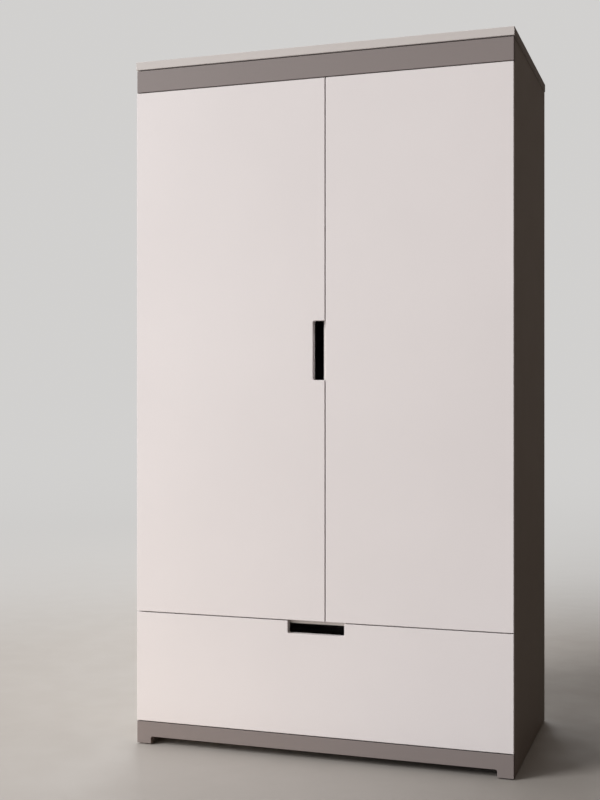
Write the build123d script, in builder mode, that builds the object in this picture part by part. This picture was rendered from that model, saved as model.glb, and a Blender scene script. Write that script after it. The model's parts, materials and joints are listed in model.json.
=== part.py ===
from build123d import *
import os

# Two-door wardrobe with one full-width drawer, in millimetres.
# +X is the right-hand side seen from the front, +Y runs from the front to the back, +Z is up.
# The origin is on the floor, at the middle of the width and of the depth.

os.makedirs("parts", exist_ok=True)

# ---------------------------------------------------------------- driving dimensions
HEIGHT = 1905.0
CASE_WIDTH = 1050.0
CASE_DEPTH = 586.0
BOARD = 19.0                    # case boards, doors, drawer front, fascia and plinth
TOP_BOARD = 22.0
TOP_OVERHANG = 2.0              # of the top panel past each side panel
STANDOFF = 2.0                  # air between the case and the backs of doors and drawer front
GAP = 3.0                       # reveal between neighbouring fronts
ROUND = 1.0                     # radius of the edge banding
GLIDE_HEIGHT = 3.0

FASCIA_HEIGHT = 60.0
DOOR_HEIGHT = 1445.0
DRAWER_FRONT_HEIGHT = 302.5
DOOR_SPLIT_X = 26.5             # middle of the gap between the two doors
PARTITION_X = 26.0              # middle of the centre partition

NOTCH_LONG = 158.0              # finger notches
NOTCH_DEEP = 33.0
NOTCH_CORNER = 5.0
DOOR_NOTCH_Z = 1093.0           # middle of the door's notch
PLINTH_CUT_HEIGHT = 22.8        # above the floor
PLINTH_FOOT = 42.0

FLOOR_SHELF_Z = 360.5           # underside of the compartment floor
BACK_BOARD = 3.0
GROOVE = 6.0                    # depth of every panel groove
SLACK = 0.05                    # between a fixing and its hole
CLEAR = 0.3                     # between parts that only face each other
SHEET_PLAY = 0.1                # on each face of a thin panel in its groove
GROOVE_PLAY = 0.5               # between a thin panel's edge and the bottom of its groove
EDGE_BREAK = 0.6                # chamfer on the front edges of inner boards

ROW_PITCH = 96.0                # rows of shelf-pin holes
ROW_START_Z = 476.0
ROW_COUNT = 14
PIN_FRONT_SETBACK = 37.0
PIN_BACK_Y = 200.0
PIN_RADIUS = 2.5
PIN_LENGTH = 16.0
PIN_DEPTH = 8.0
HAT_PIN_Z = 1564.0

HINGE_COUNT = 4
HINGE_PITCH = 4 * ROW_PITCH
HINGE_START_Z = ROW_START_Z + ROW_PITCH / 2

RUNNER_LENGTH = 500.0
RUNNER_Z = 140.0
RUNNER_SPACE = 13.0             # between a side panel and the drawer box
DRAWER_SIDE = 16.0
DRAWER_BOX_Z = 92.0
DRAWER_BOX_HEIGHT = 200.0

# ---------------------------------------------------------------- levels and planes
HALF = CASE_WIDTH / 2
INNER = HALF - BOARD
DEPTH = CASE_DEPTH + STANDOFF + BOARD
FRONT_Y = -DEPTH / 2
CASE_FRONT_Y = FRONT_Y + BOARD + STANDOFF
DOOR_BACK_Y = FRONT_Y + BOARD
BACK_Y = DEPTH / 2

TOP_Z = HEIGHT - TOP_BOARD
FASCIA_TOP_Z = TOP_Z - GAP
FASCIA_Z = FASCIA_TOP_Z - FASCIA_HEIGHT
DOOR_TOP_Z = FASCIA_Z - GAP
DOOR_Z = DOOR_TOP_Z - DOOR_HEIGHT
DRAWER_TOP_Z = DOOR_Z - GAP
DRAWER_Z = DRAWER_TOP_Z - DRAWER_FRONT_HEIGHT
PLINTH_TOP_Z = DRAWER_Z - GAP
BOTTOM_Z = PLINTH_TOP_Z - BOARD
FLOOR_TOP_Z = FLOOR_SHELF_Z + BOARD

BACK_PANEL_Y = BACK_Y - 2 * BACK_BOARD - 1.0      # front face of the back panels
BOARD_BACK_Y = BACK_PANEL_Y - 1.5                 # back edge of the inner boards
PARTITION_LEFT = PARTITION_X - BOARD / 2
PARTITION_RIGHT = PARTITION_X + BOARD / 2
PIN_FRONT_Y = CASE_FRONT_Y + PIN_FRONT_SETBACK
ROW_MIDDLE_Z = ROW_START_Z + (ROW_COUNT - 1) * ROW_PITCH / 2
HINGE_HEIGHTS = [HINGE_START_Z + i * HINGE_PITCH for i in range(HINGE_COUNT)]
SHELF_PIN_HEIGHTS = [ROW_START_Z + row * ROW_PITCH for row in (2, 5, 8, 11)]

BASE = (Align.CENTER, Align.CENTER, Align.MIN)


# ---------------------------------------------------------------- helpers
def block(x_span, y_span, z_span, mode=Mode.ADD):
    """Rectangular block between three pairs of coordinates."""
    spans = (x_span, y_span, z_span)
    with Locations(tuple((low + high) / 2 for low, high in spans)):
        Box(*(high - low for low, high in spans), mode=mode)


def rods(seats, radius, length, mode=Mode.ADD):
    """Round rods that start at each seat's point and run along its direction."""
    for point, direction in seats:
        with Locations(Plane(point, z_dir=direction)):
            Cylinder(radius, length, align=BASE, mode=mode)


def save(piece, name):
    """Label a finished piece and write it as its own STEP file."""
    piece.part.label = name
    export_step(piece.part, f"parts/{name}.step")


RECESS_WIDTH = 0.8              # cross recess of every screw
RECESS_DEPTH = 0.9


def screws(seats, radius, length, head_radius, head_height):
    """Cross-recessed screws: shanks run along their seats' directions and heads stand behind them.

    Flush heads have no height here, and are added by the caller.
    """
    backward = [(point, tuple(-part for part in direction)) for point, direction in seats]
    rods(seats, radius, length)
    if head_height:
        rods(backward, head_radius, head_height)
    for point, direction in backward:
        with Locations(Plane(point, z_dir=direction).offset(head_height)):
            Box(1.8 * radius, RECESS_WIDTH, 2 * RECESS_DEPTH, mode=Mode.SUBTRACT)
            Box(RECESS_WIDTH, 1.8 * radius, 2 * RECESS_DEPTH, mode=Mode.SUBTRACT)


# ---------------------------------------------------------------- seats of the fixings
DOWEL_RADIUS = 4.0
DOWEL_LENGTH = 30.0
DOWEL_IN_FACE = 11.0
DOWEL_YS = (-150.0, 150.0)
PARTITION_DOWEL_YS = (-220.0, 0.0, 220.0)
FRONT_DOWEL_SETBACK = 15.0      # from the fascia's long edges
FACE_BOARD_X = HALF - BOARD / 2

dowel_seats = []
for side in (-1, 1):
    for y in DOWEL_YS:
        for z in (BOTTOM_Z + BOARD / 2, FLOOR_SHELF_Z + BOARD / 2):
            dowel_seats.append(((side * (INNER + DOWEL_IN_FACE), y, z), (-side, 0, 0)))
        dowel_seats.append(((side * FACE_BOARD_X, y, TOP_Z + DOWEL_IN_FACE), (0, 0, -1)))
    for z in (FASCIA_Z + FRONT_DOWEL_SETBACK, FASCIA_TOP_Z - FRONT_DOWEL_SETBACK,
              PLINTH_TOP_Z - FRONT_DOWEL_SETBACK):
        dowel_seats.append(((side * FACE_BOARD_X, CASE_FRONT_Y - DOWEL_IN_FACE, z), (0, 1, 0)))
for y in PARTITION_DOWEL_YS:
    dowel_seats.append(((PARTITION_X, y, TOP_Z + DOWEL_IN_FACE), (0, 0, -1)))
    dowel_seats.append(((PARTITION_X, y, FLOOR_TOP_Z - DOWEL_IN_FACE), (0, 0, 1)))

CAM_RADIUS = 7.5
CAM_DEPTH = 13.0
CAM_REACH = 34.0                # from the joint face to the middle of the cam
BOLT_RADIUS = 3.0
BOLT_IN_FACE = 11.0
CAM_SLOT = (8.0, 1.4, 3.0)      # length, width and twice the depth of the driver slot
CAM_YS = (-235.0, 235.0)

cam_seats = []                  # mouth of each cam pocket
bolt_seats = []                 # blind end of each bolt in the facing board
for side in (-1, 1):
    for y in CAM_YS:
        for z in (BOTTOM_Z, FLOOR_SHELF_Z):
            cam_seats.append(((side * (INNER - CAM_REACH), y, z), (0, 0, 1)))
            bolt_seats.append(((side * (INNER + BOLT_IN_FACE), y, z + BOARD / 2), (-side, 0, 0)))
        cam_seats.append(((side * INNER, y, TOP_Z - CAM_REACH), (side, 0, 0)))
        bolt_seats.append(((side * FACE_BOARD_X, y, TOP_Z + BOLT_IN_FACE), (0, 0, -1)))

with BuildPart() as dowel_holes:
    rods(dowel_seats, DOWEL_RADIUS + SLACK, DOWEL_LENGTH + SLACK)

with BuildPart() as cam_holes:
    rods(cam_seats, CAM_RADIUS + SLACK, CAM_DEPTH)
    rods(bolt_seats, BOLT_RADIUS + SLACK, BOLT_IN_FACE + CAM_REACH - CAM_RADIUS)

with BuildPart() as wood_dowels:
    rods(dowel_seats, DOWEL_RADIUS, DOWEL_LENGTH)
save(wood_dowels, "wood_dowels")

with BuildPart() as cam_locks:
    rods(cam_seats, CAM_RADIUS, CAM_DEPTH - 0.5)
    for point, direction in cam_seats:
        with Locations(Plane(point, z_dir=direction)):
            Box(CAM_SLOT[0], CAM_SLOT[1], CAM_SLOT[2], mode=Mode.SUBTRACT)
            Box(CAM_SLOT[1], CAM_SLOT[0], CAM_SLOT[2], mode=Mode.SUBTRACT)
save(cam_locks, "cam_locks")

with BuildPart() as cam_bolts:
    rods(bolt_seats, BOLT_RADIUS, BOLT_IN_FACE + CAM_REACH - CAM_RADIUS - 0.5)
save(cam_bolts, "cam_bolts")

# ---------------------------------------------------------------- hinges
# A hinge is drawn in its own plane: i runs inward from the side panel's outer face and
# f runs forward from the side panel's front edge. The left door's hinges are drawn and
# the right door's are their mirror image.

CUP_RADIUS = 17.45
CUP_WALL = 0.75
CUP_SETBACK = 22.5              # from the door's edge to the middle of the cup
CUP_BOTTOM_F = 14.5
CUP_FLANGE = 1.0
CUP_FLANGE_SIZE = (42.0, 62.0)
CUP_FLANGE_IN = 24.0            # from the side panel's outer face to the flange's middle
CUP_SCREW_RADIUS = 1.5
CUP_SCREW_DROP = 24.0
CUP_SCREW_IN = 27.0
LINK_PIVOT = (37.4, -2.6)
LINK_KNEE = (27.3, 0.1)
LINK_ELBOW = (11.4, 11.8)
LINK_TIP = (7.9, 9.3)
LINK_HALF_THICK = 1.2
LINK_WIDTH = 5.0
EYE_RADIUS = 2.4
EYE_WIDTH = 11.2
PIVOT_PIN_RADIUS = 1.0
ARM_WIDTH = 16.0
ARM_CHEEK = 2.0
NOSE_RADIUS = 3.0
PLATE_THICK = 3.0
PLATE_WING = (14.0, 46.0)       # depth and height of the plate's wings
PLATE_SADDLE = (52.0, 11.4)     # depth and height of the block that the arm is clipped to
PLATE_SADDLE_F = -46.0
PLATE_SADDLE_THICK = 11.0
PLATE_SCREW_RADIUS = 2.0
PLATE_SCREW_PITCH = 32.0


def hinge_plane(z):
    """Hinge drawing plane at height z."""
    return Plane((-HALF, CASE_FRONT_Y, z), x_dir=(1, 0, 0), z_dir=(0, 0, -1))


def hinge_point(i, f, z):
    """Point of the left-hand hinge in the wardrobe's own axes."""
    return (-HALF + i, CASE_FRONT_Y - f, z)


cup_screw_seats = [
    (hinge_point(CUP_SCREW_IN, STANDOFF - CUP_FLANGE, z + drop), (0, -1, 0))
    for z in HINGE_HEIGHTS
    for drop in (-CUP_SCREW_DROP, CUP_SCREW_DROP)
]
plate_screw_seats = [
    (hinge_point(BOARD + PLATE_THICK, -PIN_FRONT_SETBACK, z + drop), (-1, 0, 0))
    for z in HINGE_HEIGHTS
    for drop in (-PLATE_SCREW_PITCH / 2, PLATE_SCREW_PITCH / 2)
]

with BuildPart() as cup_pockets:
    for z in HINGE_HEIGHTS:
        with BuildSketch(Plane(hinge_point(CUP_SETBACK, CUP_BOTTOM_F + SLACK, z), z_dir=(0, 1, 0))):
            Circle(CUP_RADIUS + SLACK)
        extrude(amount=CUP_BOTTOM_F)
    rods(cup_screw_seats, CUP_SCREW_RADIUS + SLACK, 12.0)

with BuildPart() as plate_holes:
    rods(plate_screw_seats, PLATE_SCREW_RADIUS + SLACK, 16.0)

with BuildPart() as left_hinge_cups:
    for z in HINGE_HEIGHTS:
        with BuildSketch(Plane(hinge_point(CUP_SETBACK, CUP_BOTTOM_F, z), z_dir=(0, 1, 0))):
            Circle(CUP_RADIUS)
        extrude(amount=CUP_BOTTOM_F - STANDOFF)
        with BuildSketch(Plane(hinge_point(CUP_FLANGE_IN, STANDOFF, z), x_dir=(1, 0, 0),
                               z_dir=(0, 1, 0))):
            RectangleRounded(*CUP_FLANGE_SIZE, 6.0)
        extrude(amount=CUP_FLANGE)
        with BuildSketch(Plane(hinge_point(CUP_SETBACK, CUP_BOTTOM_F - 1.0, z), z_dir=(0, 1, 0))):
            Circle(CUP_RADIUS - CUP_WALL)
        extrude(amount=CUP_BOTTOM_F, mode=Mode.SUBTRACT)
    rods(cup_screw_seats, CUP_SCREW_RADIUS + SLACK, 12.0, mode=Mode.SUBTRACT)
save(left_hinge_cups, "left_hinge_cups")

with BuildPart() as left_cup_screws:
    screws(cup_screw_seats, CUP_SCREW_RADIUS, 11.5, 3.0, 0.6)
save(left_cup_screws, "left_cup_screws")

with BuildPart() as left_mounting_plates:
    for z in HINGE_HEIGHTS:
        with BuildSketch(hinge_plane(z).offset(-PLATE_WING[1] / 2)):
            with Locations((BOARD + PLATE_THICK / 2, -PIN_FRONT_SETBACK)):
                Rectangle(PLATE_THICK, PLATE_WING[0])
        extrude(amount=PLATE_WING[1])
        with BuildSketch(hinge_plane(z).offset(-PLATE_SADDLE[1] / 2)):
            with Locations((BOARD + PLATE_SADDLE_THICK / 2, PLATE_SADDLE_F)):
                Rectangle(PLATE_SADDLE_THICK, PLATE_SADDLE[0])
        extrude(amount=PLATE_SADDLE[1])
    rods(plate_screw_seats, PLATE_SCREW_RADIUS + SLACK, 16.0, mode=Mode.SUBTRACT)
save(left_mounting_plates, "left_mounting_plates")

with BuildPart() as left_hinge_arms:
    for z in HINGE_HEIGHTS:
        with BuildSketch(hinge_plane(z).offset(-ARM_WIDTH / 2)):
            with BuildLine():
                Polyline((24.3, -72), (35.5, -72), (39, -14), (39, -5), (35.8, -5), (30, -14),
                         (24.3, -22), close=True)
            make_face()
            with Locations(LINK_PIVOT):
                Circle(NOSE_RADIUS)
        extrude(amount=ARM_WIDTH)
        with BuildSketch(hinge_plane(z).offset(-ARM_WIDTH / 2 + ARM_CHEEK)):
            with BuildLine():
                Polyline((20, -80), (33.8, -80), (37.2, -16), (45, -14), (45, 5), (20, 5),
                         close=True)
            make_face()
        extrude(amount=ARM_WIDTH - 2 * ARM_CHEEK, mode=Mode.SUBTRACT)
        with BuildSketch(hinge_plane(z).offset(-ARM_WIDTH / 2)):
            with Locations(LINK_PIVOT):
                Circle(PIVOT_PIN_RADIUS)
        extrude(amount=ARM_WIDTH)
save(left_hinge_arms, "left_hinge_arms")

with BuildPart() as left_hinge_links:
    for z in HINGE_HEIGHTS:
        with BuildSketch(hinge_plane(z).offset(-LINK_WIDTH / 2)):
            with BuildLine():
                Polyline(LINK_PIVOT, LINK_KNEE, LINK_ELBOW, LINK_TIP)
                offset(amount=LINK_HALF_THICK)
            make_face()
        extrude(amount=LINK_WIDTH)
        with BuildSketch(hinge_plane(z).offset(-EYE_WIDTH / 2)):
            with Locations(LINK_PIVOT):
                Circle(EYE_RADIUS)
        extrude(amount=EYE_WIDTH)
        with BuildSketch(hinge_plane(z).offset(-EYE_WIDTH)):
            with Locations(LINK_PIVOT):
                Circle(PIVOT_PIN_RADIUS + SLACK)
        extrude(amount=2 * EYE_WIDTH, mode=Mode.SUBTRACT)
save(left_hinge_links, "left_hinge_links")

with BuildPart() as hinge_plate_screws:
    screws(plate_screw_seats, PLATE_SCREW_RADIUS, 15.5, 3.6, 1.2)
    mirror(about=Plane.YZ)
save(hinge_plate_screws, "hinge_plate_screws")

with BuildPart() as right_hinge_cups:
    mirror(left_hinge_cups.part, about=Plane.YZ)
save(right_hinge_cups, "right_hinge_cups")

with BuildPart() as right_cup_screws:
    mirror(left_cup_screws.part, about=Plane.YZ)
save(right_cup_screws, "right_cup_screws")

with BuildPart() as right_mounting_plates:
    mirror(left_mounting_plates.part, about=Plane.YZ)
save(right_mounting_plates, "right_mounting_plates")

with BuildPart() as right_hinge_arms:
    mirror(left_hinge_arms.part, about=Plane.YZ)
save(right_hinge_arms, "right_hinge_arms")

with BuildPart() as right_hinge_links:
    mirror(left_hinge_links.part, about=Plane.YZ)
save(right_hinge_links, "right_hinge_links")

# ---------------------------------------------------------------- shelf pins and their rows
pin_seats = []
for y in (PIN_FRONT_Y, PIN_BACK_Y):
    pin_seats.append(((-INNER - PIN_DEPTH, y, HAT_PIN_Z), (1, 0, 0)))
    pin_seats.append(((PARTITION_LEFT + PIN_DEPTH, y, HAT_PIN_Z), (-1, 0, 0)))
    for z in SHELF_PIN_HEIGHTS:
        pin_seats.append(((INNER + PIN_DEPTH, y, z), (-1, 0, 0)))
        pin_seats.append(((PARTITION_RIGHT - PIN_DEPTH, y, z), (1, 0, 0)))

with BuildPart() as pin_rows:
    rods([seat for seat in pin_seats if seat[0][2] == HAT_PIN_Z], PIN_RADIUS + SLACK, PIN_DEPTH)
    for x in (PARTITION_RIGHT - PIN_DEPTH, INNER):
        with BuildSketch(Plane((x, (PIN_FRONT_Y + PIN_BACK_Y) / 2, ROW_MIDDLE_Z), x_dir=(0, 1, 0),
                               z_dir=(1, 0, 0))):
            with GridLocations(PIN_BACK_Y - PIN_FRONT_Y, ROW_PITCH, 2, ROW_COUNT):
                Circle(PIN_RADIUS + SLACK)
        extrude(amount=PIN_DEPTH)

with BuildPart() as shelf_pins:
    rods(pin_seats, PIN_RADIUS, PIN_LENGTH)
save(shelf_pins, "shelf_pins")

# ---------------------------------------------------------------- clothes rail
RAIL_Z = 1500.0
RAIL_HIGH = 30.0
RAIL_WIDE = 15.0
RAIL_WALL = 1.2
BRACKET_PLATE = 2.5
BRACKET_RIM = 11.0
BRACKET_SCREW_RADIUS = 1.8
BRACKET_SCREW_REACH = 22.0      # from the rail's middle
bracket_screw_seats = []
for z in (RAIL_Z - BRACKET_SCREW_REACH, RAIL_Z + BRACKET_SCREW_REACH):
    bracket_screw_seats.append(((-INNER + BRACKET_PLATE, 0, z), (-1, 0, 0)))
    bracket_screw_seats.append(((PARTITION_LEFT - BRACKET_PLATE, 0, z), (1, 0, 0)))
RAIL_CENTRE = Plane((0, 0, RAIL_Z), x_dir=(0, 0, 1), z_dir=(1, 0, 0))

with BuildPart() as clothes_rail:
    with BuildSketch(RAIL_CENTRE.offset(-INNER + BRACKET_PLATE + 0.5)):
        SlotOverall(RAIL_HIGH, RAIL_WIDE)
        SlotOverall(RAIL_HIGH - 2 * RAIL_WALL, RAIL_WIDE - 2 * RAIL_WALL, mode=Mode.SUBTRACT)
    extrude(amount=PARTITION_LEFT + INNER - 2 * BRACKET_PLATE - 1.0)
save(clothes_rail, "clothes_rail")

with BuildPart() as rail_brackets:
    for x, inward in ((-INNER, 1), (PARTITION_LEFT, -1)):
        with BuildSketch(RAIL_CENTRE.offset(x)):
            SlotOverall(RAIL_HIGH + 28.0, RAIL_WIDE + 7.0)
        extrude(amount=inward * BRACKET_PLATE)
        with BuildSketch(RAIL_CENTRE.offset(x + inward * BRACKET_PLATE)):
            SlotOverall(RAIL_HIGH + 4.0, RAIL_WIDE + 4.0)
            SlotOverall(RAIL_HIGH + 2 * SLACK, RAIL_WIDE + 2 * SLACK, mode=Mode.SUBTRACT)
        extrude(amount=inward * BRACKET_RIM)
    rods(bracket_screw_seats, BRACKET_SCREW_RADIUS + SLACK, 14.0, mode=Mode.SUBTRACT)
save(rail_brackets, "rail_brackets")

with BuildPart() as rail_bracket_screws:
    screws(bracket_screw_seats, BRACKET_SCREW_RADIUS, 13.0, 3.2, 1.0)
save(rail_bracket_screws, "rail_bracket_screws")

with BuildPart() as bracket_screw_holes:
    rods(bracket_screw_seats, BRACKET_SCREW_RADIUS + SLACK, 14.0)

# ---------------------------------------------------------------- wall fixing brackets
WALL_BRACKET_XS = (-245.0, 270.5)
WALL_BRACKET_LEG = 40.0
WALL_BRACKET_WIDTH = 30.0
WALL_BRACKET_THICK = 2.0
WALL_HOLE_RADIUS = 3.0
WALL_HOLE_Z = TOP_Z - 26.0
WALL_SCREW_RADIUS = 2.0
WALL_SCREW_SETBACK = 24.0       # from the back panels
WALL_SCREW_OFFSETS = (-8.0, 8.0)
wall_screw_seats = [((x + offset_x, BACK_PANEL_Y - WALL_SCREW_SETBACK, TOP_Z - WALL_BRACKET_THICK),
                     (0, 0, 1))
                    for x in WALL_BRACKET_XS for offset_x in WALL_SCREW_OFFSETS]

with BuildPart() as wall_brackets:
    for x in WALL_BRACKET_XS:
        with BuildSketch(Plane((x - WALL_BRACKET_WIDTH / 2, BACK_PANEL_Y, TOP_Z), x_dir=(0, 1, 0),
                               z_dir=(1, 0, 0))):
            with BuildLine():
                Polyline((0, 0), (-WALL_BRACKET_LEG, 0), (-WALL_BRACKET_LEG, -WALL_BRACKET_THICK),
                         (-WALL_BRACKET_THICK, -WALL_BRACKET_THICK),
                         (-WALL_BRACKET_THICK, -WALL_BRACKET_LEG), (0, -WALL_BRACKET_LEG),
                         close=True)
            make_face()
        extrude(amount=WALL_BRACKET_WIDTH)
        rods([((x, BACK_PANEL_Y - 10.0, WALL_HOLE_Z), (0, 1, 0))], WALL_HOLE_RADIUS, 20.0,
             mode=Mode.SUBTRACT)
    rods(wall_screw_seats, WALL_SCREW_RADIUS + SLACK, 16.0, mode=Mode.SUBTRACT)
save(wall_brackets, "wall_brackets")

with BuildPart() as wall_bracket_screws:
    screws(wall_screw_seats, WALL_SCREW_RADIUS, 15.0, 3.8, 1.4)
save(wall_bracket_screws, "wall_bracket_screws")

# ---------------------------------------------------------------- drawer runners
# Three nested channels on each side; the left-hand pair is drawn and mirrored.
RUNNER_FRONT_Y = CASE_FRONT_Y + 2.5
RUNNER_SHEET = 1.2
CABINET_RAIL = (22.8, 10.0)     # half height and flange of each channel
MIDDLE_RAIL = (19.0, 8.4)
DRAWER_RAIL = (15.0, 7.8)
MIDDLE_RAIL_OFFSET = 2.4        # from the side panel to the middle rail's web
RUNNER_SCREW_RADIUS = 2.0
RUNNER_HEAD_RADIUS = 3.5
BALL_X = -INNER + 7.5
BALL_PLAY = 0.1
CAGE_WIDTH = 3.8
CAGE_THICK = 0.8
CAGE_FRONT_Y = -160.0
CAGE_LENGTH = 260.0
BALLS_PER_CAGE = 9


def channel(web_x, opening, profile):
    """Channel along Y: the web stands at web_x and the flanges run towards `opening` (+1 or -1)."""
    half_height, flange = profile
    tip_x = web_x + opening * flange
    web_in = web_x + opening * RUNNER_SHEET
    with BuildPart() as rail:
        with BuildSketch(Plane((0, RUNNER_FRONT_Y, RUNNER_Z), x_dir=(1, 0, 0), z_dir=(0, -1, 0))):
            with BuildLine():
                Polyline((web_x, -half_height), (tip_x, -half_height),
                         (tip_x, -half_height + RUNNER_SHEET),
                         (web_in, -half_height + RUNNER_SHEET),
                         (web_in, half_height - RUNNER_SHEET),
                         (tip_x, half_height - RUNNER_SHEET), (tip_x, half_height),
                         (web_x, half_height), close=True)
            make_face()
        extrude(amount=-RUNNER_LENGTH)
    return rail.part


RUNNER_SCREW_YS = (RUNNER_FRONT_Y + 37.0, RUNNER_FRONT_Y + 250.0, RUNNER_FRONT_Y + 460.0)
cabinet_screw_seats = [((-INNER + RUNNER_SHEET, y, RUNNER_Z), (-1, 0, 0)) for y in RUNNER_SCREW_YS]
drawer_screw_seats = [((-INNER + RUNNER_SPACE - RUNNER_SHEET, y, RUNNER_Z), (1, 0, 0))
                      for y in RUNNER_SCREW_YS]

with BuildPart() as left_cabinet_rail:
    add(channel(-INNER, 1, CABINET_RAIL))
    rods(cabinet_screw_seats, RUNNER_HEAD_RADIUS + SLACK, RUNNER_SHEET, mode=Mode.SUBTRACT)
save(left_cabinet_rail, "left_cabinet_rail")

with BuildPart() as right_cabinet_rail:
    mirror(left_cabinet_rail.part, about=Plane.YZ)
save(right_cabinet_rail, "right_cabinet_rail")

with BuildPart() as left_middle_rail:
    add(channel(-INNER + MIDDLE_RAIL_OFFSET, 1, MIDDLE_RAIL))
save(left_middle_rail, "left_middle_rail")

with BuildPart() as right_middle_rail:
    mirror(left_middle_rail.part, about=Plane.YZ)
save(right_middle_rail, "right_middle_rail")

with BuildPart() as left_drawer_rail:
    add(channel(-INNER + RUNNER_SPACE, -1, DRAWER_RAIL))
    rods(drawer_screw_seats, RUNNER_HEAD_RADIUS + SLACK, RUNNER_SHEET, mode=Mode.SUBTRACT)
save(left_drawer_rail, "left_drawer_rail")

with BuildPart() as right_drawer_rail:
    mirror(left_drawer_rail.part, about=Plane.YZ)
save(right_drawer_rail, "right_drawer_rail")


def runner_screws(seats):
    """Runner screws with flush heads on the left and, mirrored, on the right."""
    with BuildPart() as pair:
        rods(seats, RUNNER_HEAD_RADIUS, RUNNER_SHEET)
        screws(seats, RUNNER_SCREW_RADIUS, 12.0, RUNNER_HEAD_RADIUS, 0)
        mirror(about=Plane.YZ)
    return pair.part


def runner_screw_holes(seats):
    """Pilot holes for the runner screws on both sides."""
    with BuildPart() as holes:
        rods(seats, RUNNER_SCREW_RADIUS + SLACK, 12.5)
        mirror(about=Plane.YZ)
    return holes.part


cabinet_screw_holes = runner_screw_holes(cabinet_screw_seats)
drawer_screw_holes = runner_screw_holes(drawer_screw_seats)

with BuildPart() as cabinet_rail_screws:
    add(runner_screws(cabinet_screw_seats))
save(cabinet_rail_screws, "cabinet_rail_screws")

with BuildPart() as drawer_rail_screws:
    add(runner_screws(drawer_screw_seats))
save(drawer_rail_screws, "drawer_rail_screws")


def ball_cage(outside_rail, inside_rail):
    """Ball strips that run between two nested channels, at their tops and bottoms, on both sides."""
    outside, inside = outside_rail[0] - RUNNER_SHEET, inside_rail[0]
    height = (outside + inside) / 2
    ball_radius = (outside - inside) / 2 - BALL_PLAY
    with BuildPart() as cage:
        for z in (RUNNER_Z - height, RUNNER_Z + height):
            block((BALL_X - CAGE_WIDTH / 2, BALL_X + CAGE_WIDTH / 2),
                  (CAGE_FRONT_Y, CAGE_FRONT_Y + CAGE_LENGTH),
                  (z - CAGE_THICK / 2, z + CAGE_THICK / 2))
            for i in range(BALLS_PER_CAGE):
                with Locations((BALL_X, CAGE_FRONT_Y + (i + 0.5) * CAGE_LENGTH / BALLS_PER_CAGE, z)):
                    Sphere(ball_radius)
        mirror(about=Plane.YZ)
    return cage.part


with BuildPart() as outer_ball_cages:
    add(ball_cage(CABINET_RAIL, MIDDLE_RAIL))
save(outer_ball_cages, "outer_ball_cages")

with BuildPart() as inner_ball_cages:
    add(ball_cage(MIDDLE_RAIL, DRAWER_RAIL))
save(inner_ball_cages, "inner_ball_cages")

# ---------------------------------------------------------------- case boards
GLIDE_RADIUS = 8.0
GLIDE_PIN_RADIUS = 2.5
GLIDE_SETBACK = 45.0            # from the front and back edges
REAR_PLINTH_Y = 190.0
glide_points = [(side * FACE_BOARD_X, y, 0.0) for side in (-1, 1)
                for y in (CASE_FRONT_Y + GLIDE_SETBACK, BACK_Y - GLIDE_SETBACK)]
glide_seats = [(point, (0, 0, 1)) for point in glide_points]
back_groove = (BACK_PANEL_Y - SHEET_PLAY, BACK_PANEL_Y + BACK_BOARD + SHEET_PLAY)

with BuildPart() as left_side_panel:
    block((-HALF, -INNER), (CASE_FRONT_Y, BACK_Y), (GLIDE_HEIGHT, TOP_Z))
    chamfer(left_side_panel.faces().sort_by(Axis.Y)[0].edges().filter_by(Axis.Z), length=EDGE_BREAK)
    block((-INNER - GROOVE, -INNER), back_groove, (GLIDE_HEIGHT, TOP_Z), mode=Mode.SUBTRACT)
    add(dowel_holes.part, mode=Mode.SUBTRACT)
    add(cam_holes.part, mode=Mode.SUBTRACT)
    add(plate_holes.part, mode=Mode.SUBTRACT)
    add(pin_rows.part, mode=Mode.SUBTRACT)
    add(bracket_screw_holes.part, mode=Mode.SUBTRACT)
    add(cabinet_screw_holes, mode=Mode.SUBTRACT)
    rods(glide_seats, GLIDE_PIN_RADIUS + SLACK, 18.0, mode=Mode.SUBTRACT)
save(left_side_panel, "left_side_panel")

with BuildPart() as right_plate_holes:
    mirror(plate_holes.part, about=Plane.YZ)

with BuildPart() as right_side_panel:
    block((INNER, HALF), (CASE_FRONT_Y, BACK_Y), (GLIDE_HEIGHT, TOP_Z))
    chamfer(right_side_panel.faces().sort_by(Axis.Y)[0].edges().filter_by(Axis.Z), length=EDGE_BREAK)
    block((INNER, INNER + GROOVE), back_groove, (GLIDE_HEIGHT, TOP_Z), mode=Mode.SUBTRACT)
    add(dowel_holes.part, mode=Mode.SUBTRACT)
    add(cam_holes.part, mode=Mode.SUBTRACT)
    add(right_plate_holes.part, mode=Mode.SUBTRACT)
    add(pin_rows.part, mode=Mode.SUBTRACT)
    add(cabinet_screw_holes, mode=Mode.SUBTRACT)
    rods(glide_seats, GLIDE_PIN_RADIUS + SLACK, 18.0, mode=Mode.SUBTRACT)
save(right_side_panel, "right_side_panel")

with BuildPart() as floor_glides:
    rods(glide_seats, GLIDE_RADIUS, GLIDE_HEIGHT)
    chamfer(floor_glides.faces().filter_by(Axis.Z).sort_by(Axis.Z)[:4].edges(), length=0.8)
    rods(glide_seats, GLIDE_PIN_RADIUS, 17.0)
save(floor_glides, "floor_glides")

with BuildPart() as top_panel:
    block((-HALF - TOP_OVERHANG, HALF + TOP_OVERHANG), (FRONT_Y, BACK_Y), (TOP_Z, HEIGHT))
    fillet(top_panel.edges(), radius=ROUND)
    block((-INNER - GROOVE, INNER + GROOVE), back_groove, (TOP_Z, TOP_Z + GROOVE), mode=Mode.SUBTRACT)
    add(dowel_holes.part, mode=Mode.SUBTRACT)
    add(cam_holes.part, mode=Mode.SUBTRACT)
    rods(wall_screw_seats, WALL_SCREW_RADIUS + SLACK, 16.0, mode=Mode.SUBTRACT)
save(top_panel, "top_panel")

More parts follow.
